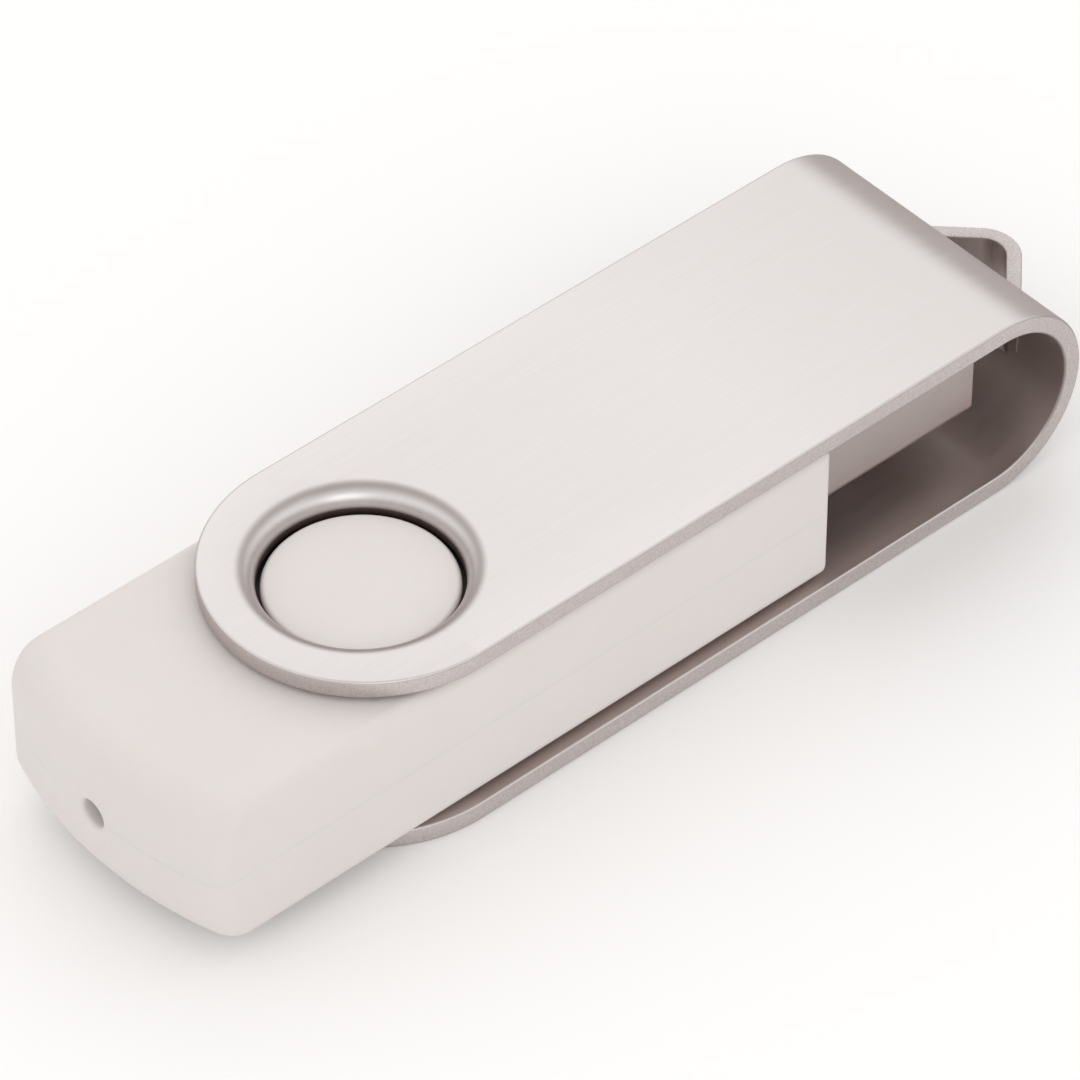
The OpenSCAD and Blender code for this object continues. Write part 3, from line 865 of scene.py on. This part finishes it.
def rolled_tube():
    """The plug's tube with a softened mouth, as a closed wall."""
    stations = [(PLUG_ROOT, 0.0)]
    for a in turn(SMALL_STEPS):
        stations.append((PLUG_END - PLUG_MOUTH_R * (1 - math.sin(a)), PLUG_MOUTH_R * (1 - math.cos(a))))
    for a in turn(TINY_STEPS, 90, 0):
        inset = PLUG_T - PLUG_MOUTH_R * (1 - math.cos(a))
        stations.append((PLUG_END - PLUG_MOUTH_R * (1 - math.sin(a)), inset))
    stations.append((PLUG_ROOT, PLUG_T))
    mesh = bmesh.new()
    rings = []
    for x, inset in stations:
        w = PLUG_W - 2 * inset
        h = PLUG_H - 2 * inset
        points = round_rect(w, h, PLUG_BEND_R - inset, PLUG_CORNER_STEPS)
        rings.append(ring(mesh, [(x, y, MID_Z + z) for y, z in points]))
    skin(mesh, rings + rings[:1])
    return tidy(mesh)


def plug_legs():
    """The two legs that stand in the board's slots, each in line with a side of the tube."""
    z0 = MID_Z - LEG_H / 2 - PLUG_T
    legs = []
    for side in (-1, 1):
        ys = sorted([side * (PLUG_W / 2 - LEG_SINK), side * (PLUG_W / 2 - PLUG_T + LEG_SINK)])
        legs.append(box(PLUG_ROOT - LEG_L, PLUG_ROOT + LEG_LAP, *ys, z0, z0 + LEG_H))
    return legs


def plug_shell():
    """The rolled steel shell: a tube with two legs, windows and a locked seam."""
    windows = [window_cutter(side * WINDOW_PITCH / 2) for side in (-1, 1)]
    shell = carve(join(rolled_tube(), *plug_legs()), *windows, dovetail_seam())
    piece = finish_piece(shell, "rolled_plug_shell", "drive_body", ["plug_shell"])
    bevel = piece.modifiers.new("edges", "BEVEL")
    bevel.width = PLUG_EDGE_R / MM
    bevel.segments = 2
    bevel.angle_limit = PLUG_EDGE_ANGLE
    piece.modifiers.move(1, 0)
    return piece


# ---- Materials: noise scales are in features per metre ----

# Depths that the bump of a fine grain and of a copper track stands for, in metres
GRAIN_DEPTH = 0.00001
TRACK_DEPTH = 0.00003


class Material:
    """A node material, built one node at a time around a Principled shader."""

    def __init__(self, name):
        self.block = bpy.data.materials.new(name)
        self.block.use_nodes = True
        self.tree = self.block.node_tree
        self.tree.nodes.clear()
        self.shader = self.add("ShaderNodeBsdfPrincipled")
        out = self.add("ShaderNodeOutputMaterial")
        self.tree.links.new(self.shader.outputs[0], out.inputs["Surface"])
        self.place = self.add("ShaderNodeTexCoord").outputs["Object"]

    def add(self, kind, sockets=None, **settings):
        """Adds a node, with its settings and the links or values of its sockets."""
        node = self.tree.nodes.new(kind)
        for key, value in settings.items():
            setattr(node, key, value)
        self.set(node, sockets or {})
        return node

    def set(self, node, sockets):
        """Links or sets a node's input sockets."""
        for key, value in sockets.items():
            if isinstance(value, bpy.types.NodeSocket):
                self.tree.links.new(value, node.inputs[key])
            else:
                node.inputs[key].default_value = value

    def stored(self, name, output="Fac"):
        """A value kept on the piece's points."""
        return self.add("ShaderNodeAttribute", attribute_name=name).outputs[output]

    def noise(self, scale, detail=3.0, roughness=0.5, place=None, distortion=0.0):
        """Noise whose features are about 1 / scale metres across."""
        return self.add(
            "ShaderNodeTexNoise",
            {
                "Vector": place or self.place,
                "Scale": scale,
                "Detail": detail,
                "Roughness": roughness,
                "Distortion": distortion,
            },
        ).outputs["Fac"]

    def stretched(self, place, factors):
        """A place multiplied by a scale for each axis."""
        return self.add("ShaderNodeVectorMath", {0: place, 1: factors}, operation="MULTIPLY").outputs[0]

    def math(self, operation, a, b=0.0, clamp=False):
        """A sum, product or other operation on two values."""
        return self.add(
            "ShaderNodeMath", {0: a, 1: b}, operation=operation, use_clamp=clamp
        ).outputs[0]

    def ranged(self, value, low, high, from_low=0.0, from_high=1.0):
        """A value carried over from one range to another, and kept inside it."""
        return self.add(
            "ShaderNodeMapRange",
            {"Value": value, "From Min": from_low, "From Max": from_high, "To Min": low, "To Max": high},
        ).outputs[0]

    def blend(self, factor, a, b):
        """Mixes two colours."""
        node = self.add("ShaderNodeMix", data_type="RGBA")
        self.set(node, {0: factor})
        for key, value in ((6, a), (7, b)):
            if isinstance(value, bpy.types.NodeSocket):
                self.tree.links.new(value, node.inputs[key])
            else:
                node.inputs[key].default_value = (*value, 1.0)
        return node.outputs[2]

    def bump(self, height, strength, depth=GRAIN_DEPTH):
        """A surface normal tilted by a height."""
        sockets = {"Height": height, "Strength": strength, "Distance": depth}
        return self.add("ShaderNodeBump", sockets).outputs[0]

    def finish(self, **sockets):
        """Sets or links the shader's sockets."""
        names = {key.replace("_", " "): value for key, value in sockets.items()}
        self.set(self.shader, names)
        return self.block


def brushed_aluminium():
    """Fine brushing along the strip, with a duller, granular cut edge, and painted shade on the inner face,
    the bend, the roll, the loop and a crease line.
    """
    plate = ((0.635, 0.605, 0.597), (0.700, 0.678, 0.670))
    plate_patch = (0.69, 0.665, 0.655)
    cut_edge = ((0.545, 0.50, 0.488), (0.65, 0.61, 0.60))
    # The inner face's colours: a darker, warmer painted shade, streaked like the plate
    inside = ((0.60, 0.51, 0.485), (0.66, 0.57, 0.545))
    # The colour that painted shade darkens the metal towards
    shadow = (0.15, 0.10, 0.09)
    # The colour of a painted shade line where the face rounds into the cut edge
    crease_shade_colour = (0.42, 0.36, 0.34)
    glint = (0.80, 0.74, 0.73, 1.0)
    # Painted shade on the plate, growing over this length before the bend
    approach_l = 0.022
    approach_shade = 0.11

    m = Material("brushed_aluminium")
    place = m.stored("strip", "Vector")
    on_cut = m.ranged(m.stored("cut_edge"), 0.0, 1.0, 0.25, 0.75)
    inner = m.stored("inner_face")
    fine = m.noise(1.0, 4.0, 0.6, m.stretched(place, (260.0, 9000.0, 1.0)))
    broad = m.noise(1.0, 3.0, 0.5, m.stretched(place, (70.0, 1500.0, 1.0)))
    patches = m.noise(180.0, 3.0, 0.55)
    grain = m.noise(9000.0, 2.0, 0.6)
    streaks = m.math("ADD", m.math("MULTIPLY", fine, 0.6), m.math("MULTIPLY", broad, 0.4))

    light = m.blend(m.ranged(streaks, 0.0, 1.0, 0.3, 0.7), *plate)
    light = m.blend(m.ranged(patches, 0.0, 0.25, 0.35, 0.75), light, plate_patch)
    # Painted shade: the inner face takes its darker, warmer colours
    light = m.blend(inner, light, m.blend(streaks, *inside))
    edge = m.blend(m.ranged(grain, 0.0, 1.0, 0.35, 0.65), *cut_edge)
    along = m.add("ShaderNodeSeparateXYZ", {0: place}).outputs["X"]
    # Painted shade: the plate darkens over its last stretch before the bend
    bend_approach_shade = m.ranged(along, 0.0, approach_shade, -approach_l, 0.0)
    # Painted shade: the stored painted shade and the plate's approach to the bend darken the metal towards
    # the shadow colour
    painted_shade = m.math("MAXIMUM", m.stored("painted_shade"), bend_approach_shade)
    metal_with_painted_shade = m.blend(m.math("MULTIPLY", painted_shade, m.ranged(patches, 0.9, 1.0)), light, shadow)
    # Painted shade: a darker line along the rounding between face and cut edge
    crease_shade = m.math("MULTIPLY", m.math("MULTIPLY", on_cut, m.math("SUBTRACT", 1.0, on_cut)), 2.0)
    colour = m.blend(crease_shade, m.blend(on_cut, metal_with_painted_shade, edge), crease_shade_colour)

    rough = m.ranged(streaks, 0.24, 0.36, 0.3, 0.7)
    # Where painted shade lies the metal is also rougher
    for cause, amount in ((on_cut, 0.12), (painted_shade, 0.28), (inner, 0.14)):
        rough = m.math("ADD", rough, m.math("MULTIPLY", cause, amount))
    flat = m.math("SUBTRACT", m.math("SUBTRACT", 1.0, on_cut), painted_shade, True)
    height = m.math("ADD", m.math("MULTIPLY", streaks, flat), m.math("MULTIPLY", grain, on_cut))
    normal = m.bump(height, 0.35)
    return m.finish(Base_Color=colour, Metallic=1.0, Roughness=rough, Normal=normal, Specular_Tint=glint)


def satin_plastic():
    """Warm light grey moulding with a very fine spark-eroded grain, and near-black painted shade deep in the
    gaps.
    """
    moulding = ((0.715, 0.675, 0.655), (0.75, 0.712, 0.69))
    handled = (0.69, 0.65, 0.63)
    gap_shadow = (0.012, 0.010, 0.009)

    m = Material("satin_plastic")
    grain = m.noise(6000.0, 3.0, 0.6)
    cloud = m.noise(120.0, 2.0, 0.5)
    handling = m.noise(420.0, 4.0, 0.65, distortion=0.4)
    colour = m.blend(cloud, *moulding)
    colour = m.blend(m.ranged(handling, 0.0, 0.18, 0.5, 0.85), colour, handled)
    # Painted shade: deep in the gap round the boss the moulding turns near black
    colour = m.blend(m.stored("gap_shade"), colour, gap_shadow)
    rough = m.ranged(handling, 0.42, 0.52, 0.3, 0.7)
    normal = m.bump(grain, 0.12)
    return m.finish(
        Base_Color=colour, Metallic=0.0, Roughness=rough, Normal=normal, IOR=1.5,
        Subsurface_Weight=0.06, Subsurface_Scale=0.001,
    )


def plated_steel():
    """Nickel-plated rolled sheet: faint rolling lines and small scuffs."""
    sheet = ((0.47, 0.415, 0.403), (0.54, 0.48, 0.467))
    scuffed = (0.41, 0.36, 0.35)

    m = Material("plated_steel")
    lines = m.noise(1.0, 4.0, 0.6, m.stretched(m.place, (220.0, 5200.0, 5200.0)))
    cloud = m.noise(260.0, 3.0, 0.5)
    scuffs = m.noise(1.0, 5.0, 0.7, m.stretched(m.place, (500.0, 2400.0, 2400.0)))
    colour = m.blend(cloud, *sheet)
    colour = m.blend(m.ranged(scuffs, 0.0, 0.35, 0.55, 0.8), colour, scuffed)
    rough = m.ranged(lines, 0.30, 0.44, 0.3, 0.7)
    normal = m.bump(lines, 0.25)
    return m.finish(Base_Color=colour, Metallic=1.0, Roughness=rough, Normal=normal)


def solder_mask():
    """Green laminate with raised copper tracks under the mask and a faint weave."""
    mask = ((0.008, 0.09, 0.035), (0.02, 0.19, 0.07))
    weave_colour = (0.03, 0.14, 0.06)
    tracks_per_metre = 2500.0

    m = Material("solder_mask")
    across = m.add("ShaderNodeSeparateXYZ", {0: m.place}).outputs["Y"]
    wander = m.noise(300.0, 0.0, 0.0)
    lane = m.math("ADD", m.math("MULTIPLY", across, tracks_per_metre), m.math("MULTIPLY", wander, 6.0))
    wave = m.math("ABSOLUTE", m.math("SUBTRACT", m.math("FRACT", lane), 0.5))
    track = m.ranged(wave, 0.0, 1.0, 0.26, 0.30)
    weave = m.noise(1.0, 2.0, 0.5, m.stretched(m.place, (4000.0, 900.0, 4000.0)))
    colour = m.blend(track, *mask)
    colour = m.blend(m.ranged(weave, 0.0, 0.3, 0.4, 0.8), colour, weave_colour)
    normal = m.bump(track, 0.5, TRACK_DEPTH)
    return m.finish(Base_Color=colour, Metallic=0.0, Roughness=0.33, Normal=normal, IOR=1.5)


def clear_resin():
    """Clear moulded resin with a faint haze."""
    resin = ((0.82, 0.88, 0.95), (0.92, 0.95, 1.0))

    m = Material("clear_resin")
    haze = m.noise(1500.0, 3.0, 0.6)
    colour = m.blend(haze, *resin)
    rough = m.ranged(haze, 0.05, 0.16)
    return m.finish(Base_Color=colour, Roughness=rough, Transmission_Weight=0.8, IOR=1.53)


def plain_finish(name, dark, light, metallic, rough, grain_scale, strength=0.2):
    """A finish with slight mottling, uneven gloss and a fine grain."""
    m = Material(name)
    cloud = m.noise(400.0, 4.0, 0.6)
    grain = m.noise(grain_scale, 3.0, 0.6)
    colour = m.blend(cloud, dark, light)
    gloss = m.ranged(cloud, rough - 0.07, rough + 0.07, 0.3, 0.7)
    normal = m.bump(grain, strength)
    return m.finish(Base_Color=colour, Metallic=metallic, Roughness=gloss, Normal=normal)


# Darker and lighter colour, metallic, roughness, grain scale and, where it isn't the usual, grain strength
PLAIN_FINISHES = {
    "insulator_plastic": ((0.74, 0.74, 0.71), (0.83, 0.83, 0.80), 0.0, 0.45, 5000.0),
    "contact_gold": ((0.80, 0.55, 0.20), (0.92, 0.68, 0.32), 1.0, 0.28, 6000.0),
    "solder_tin": ((0.60, 0.60, 0.60), (0.78, 0.78, 0.78), 1.0, 0.26, 2500.0, 0.35),
    "chip_resin": ((0.022, 0.022, 0.024), (0.045, 0.045, 0.048), 0.0, 0.62, 7000.0, 0.5),
    "lead_tin": ((0.62, 0.62, 0.61), (0.76, 0.76, 0.75), 1.0, 0.38, 6000.0),
    "part_ceramic": ((0.14, 0.12, 0.10), (0.24, 0.21, 0.18), 0.0, 0.5, 6000.0),
    "capacitor_ceramic": ((0.36, 0.25, 0.15), (0.48, 0.35, 0.23), 0.0, 0.42, 6000.0),
    "led_white": ((0.78, 0.78, 0.75), (0.88, 0.88, 0.86), 0.0, 0.5, 6000.0),
}


def materials():
    """Every finish, by the name of its slot."""
    finishes = {name: plain_finish(name, *values) for name, values in PLAIN_FINISHES.items()}
    finishes["clip_metal"] = brushed_aluminium()
    finishes["case_plastic"] = satin_plastic()
    finishes["plug_steel"] = plated_steel()
    finishes["board_laminate"] = solder_mask()
    finishes["led_clear"] = clear_resin()
    return finishes


# ---- CAD nodes that stay ----

NODE_SLOTS = {
    "plug_insulator": "insulator_plastic",
    "power_contacts": "contact_gold",
    "data_contacts": "contact_gold",
    "circuit_board": "board_laminate",
    "board_pads": "contact_gold",
    "contact_solder": "solder_tin",
    "leg_solder": "solder_tin",
    "flash_chip": "chip_resin",
    "flash_leads": "lead_tin",
    "controller_chip": "chip_resin",
    "controller_leads": "lead_tin",
    "crystal_base": "part_ceramic",
    "crystal_lid": "lead_tin",
    "regulator_body": "chip_resin",
    "regulator_leads": "lead_tin",
    "capacitor_bodies": "capacitor_ceramic",
    "capacitor_terminals": "solder_tin",
    "resistor_bodies": "part_ceramic",
    "resistor_terminals": "solder_tin",
    "led_base": "led_white",
    "led_lens": "led_clear",
    "led_terminals": "solder_tin",
}


def edge_of(name):
    """The radius of the small round edges on a carried-over CAD piece."""
    if name == "plug_insulator":
        return INSULATOR_EDGE_R
    return LEAD_EDGE_R if name.endswith(("leads", "pads", "solder")) else PART_EDGE_R


def dress_node(name, finish):
    """Gives a carried-over CAD piece its finish and small round edges."""
    piece = frame["nodes"][name]
    piece.data.materials.clear()
    piece.data.materials.append(finish)
    weld = piece.modifiers.new("weld", "WELD")
    weld.merge_threshold = NODE_WELD_GAP / MM
    bevel = piece.modifiers.new("edges", "BEVEL")
    bevel.width = edge_of(name) / MM
    bevel.segments = 2
    bevel.angle_limit = NODE_EDGE_ANGLE
    shading = piece.modifiers.new("shading", "WEIGHTED_NORMAL")
    shading.keep_sharp = False


# ---- Studio: the floor and the lights are in metres, the camera's place in millimetres ----

FLOOR_REACH = 3.0
FLOOR_DROP = 0.00002
LIGHT_DISTANCE = 0.6
CAMERA_AZIMUTH = -41.51
CAMERA_ELEVATION = 43.61
CAMERA_DISTANCE = 368.4
CAMERA_TARGET = (4.77, 0.0, 4.60)
CAMERA_LEFT = 5.11
CAMERA_DOWN = 2.13
CAMERA_LENS = 234.9
CAMERA_SENSOR = 36


def towards(azimuth, elevation):
    """The direction from the origin out to a camera or a lamp, from angles in degrees."""
    a = math.radians(azimuth)
    e = math.radians(elevation)
    return Vector((math.sin(a) * math.cos(e), -math.cos(a) * math.cos(e), math.sin(e)))


def aimed(name, data, place, back):
    """A camera or a lamp at a place, looking away from the direction back."""
    thing = bpy.data.objects.new(name, data)
    bpy.context.scene.collection.objects.link(thing)
    thing.location = place
    thing.rotation_mode = "QUATERNION"
    thing.rotation_quaternion = (-back).to_track_quat("-Z", "Y")
    return thing


def studio_floor():
    """A plain pale floor just under the part."""
    pale = ((0.96, 0.96, 0.96), (0.98, 0.98, 0.98))
    m = Material("studio_floor")
    block = m.finish(Base_Color=m.blend(m.noise(9.0, 2.0, 0.5), *pale), Roughness=0.7)
    mesh = bmesh.new()
    r = FLOOR_REACH
    fill(mesh, ring(mesh, [(-r, -r, 0), (r, -r, 0), (r, r, 0), (-r, r, 0)]))
    floor = as_object(mesh, "studio_floor")
    floor.location.z = -FLOOR_DROP
    floor.data.materials.append(block)


def soft_light(name, azimuth, elevation, size, power):
    """A square soft light that looks at the origin."""
    light = bpy.data.lights.new(name, "AREA")
    light.size = size
    light.energy = power
    back = towards(azimuth, elevation)
    aimed(name, light, back * LIGHT_DISTANCE, back)


def studio_world():
    """A pale surround: dim at the horizon, brightest a third of the way up, softer overhead."""
    horizon = (0.42, 0.385, 0.375, 1)
    bright = (1.0, 0.99, 0.98, 1)
    overhead = (0.72, 0.70, 0.69, 1)
    world = bpy.data.worlds.new("studio")
    bpy.context.scene.world = world
    world.use_nodes = True
    tree = world.node_tree
    tree.nodes.clear()
    place = tree.nodes.new("ShaderNodeTexCoord")
    split = tree.nodes.new("ShaderNodeSeparateXYZ")
    ramp = tree.nodes.new("ShaderNodeValToRGB")
    back = tree.nodes.new("ShaderNodeBackground")
    out = tree.nodes.new("ShaderNodeOutputWorld")
    stops = ramp.color_ramp.elements
    stops[0].position = 0.0
    stops[0].color = horizon
    stops[1].position = 0.5
    stops[1].color = bright
    zenith = stops.new(1.0)
    zenith.color = overhead
    tree.links.new(place.outputs["Generated"], split.inputs[0])
    tree.links.new(split.outputs["Z"], ramp.inputs[0])
    tree.links.new(ramp.outputs[0], back.inputs["Color"])
    tree.links.new(back.outputs[0], out.inputs[0])
    back.inputs["Strength"].default_value = 1.2


def camera():
    """Long lens from above the tail's near corner, looking along the stick."""
    back = towards(CAMERA_AZIMUTH, CAMERA_ELEVATION)
    right = (-back).cross(Vector((0, 0, 1))).normalized()
    up = right.cross(-back)
    data = bpy.data.cameras.new("camera")
    data.lens = CAMERA_LENS
    data.sensor_width = CAMERA_SENSOR
    data.clip_start = 0.01
    data.clip_end = 20
    place = Vector(CAMERA_TARGET) + back * CAMERA_DISTANCE - right * CAMERA_LEFT - up * CAMERA_DOWN
    bpy.context.scene.camera = aimed("camera", data, place / MM, back)


# ---- Scene ----

camera()
studio_world()
studio_floor()
soft_light("behind", azimuth=138.5, elevation=48, size=0.45, power=0.16)
soft_light("front", azimuth=-28, elevation=32, size=0.3, power=0.20)
bpy.context.scene.view_settings.view_transform = "Standard"

finishes = materials()
for piece, slot in (
    (swivel_clip(), "clip_metal"),
    (upper_case(), "case_plastic"),
    (lower_case(), "case_plastic"),
    (plug_shell(), "plug_steel"),
):
    piece.data.materials.append(finishes[slot])
for node_name, node_slot in NODE_SLOTS.items():
    dress_node(node_name, finishes[node_slot])
